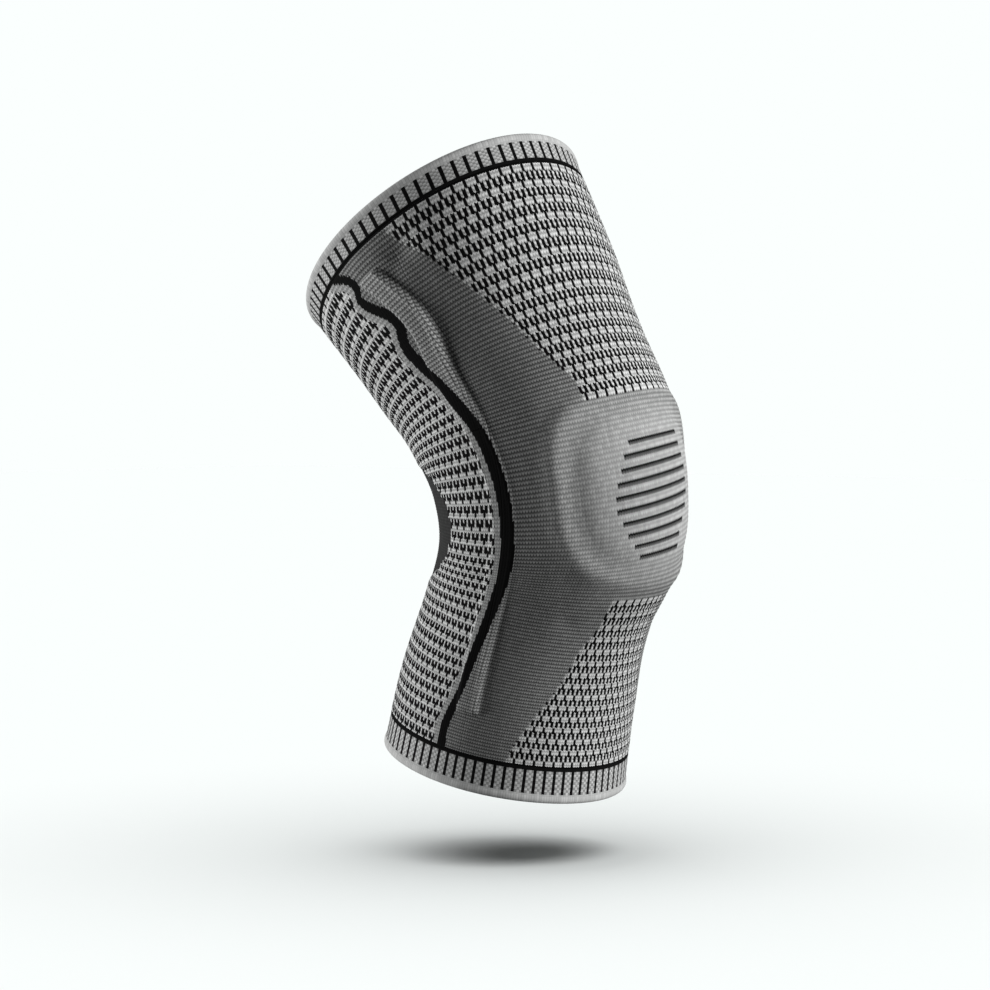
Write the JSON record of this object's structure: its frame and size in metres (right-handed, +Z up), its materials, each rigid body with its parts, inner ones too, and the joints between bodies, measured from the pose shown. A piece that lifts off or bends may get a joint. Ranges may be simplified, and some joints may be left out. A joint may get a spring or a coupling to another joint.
{
  "type": "compression knee brace",
  "caption": "Knitted compression knee sleeve, bent as worn, with ribbed cuffs, a raised kneecap ring, side stays and a panel behind the knee.",
  "frame": {"origin": "the middle of the leg at the knee, where the brace is worn", "axes": "+Z up along the standing wearer, the kneecap faces -Y, -X is the wearer's right"},
  "size_m": [0.1596, 0.206, 0.3322],
  "materials": {
    "body_knit": "melange grey knit with black jacquard motif",
    "cuff_knit": "melange grey rib with black pinstripes",
    "panel_knit": "smooth dark charcoal knit",
    "ring_gel": "soft translucent silicone",
    "stay_steel": "dull spring steel"
  },
  "bodies": {
    "root": {"sleeve": "body_knit", "thigh_cuff": "cuff_knit", "calf_cuff": "cuff_knit", "popliteal_panel": "panel_knit", "patella_gel_ring": "ring_gel", "side_stay_right": "stay_steel", "side_stay_left": "stay_steel"}
  },
  "joints": []
}
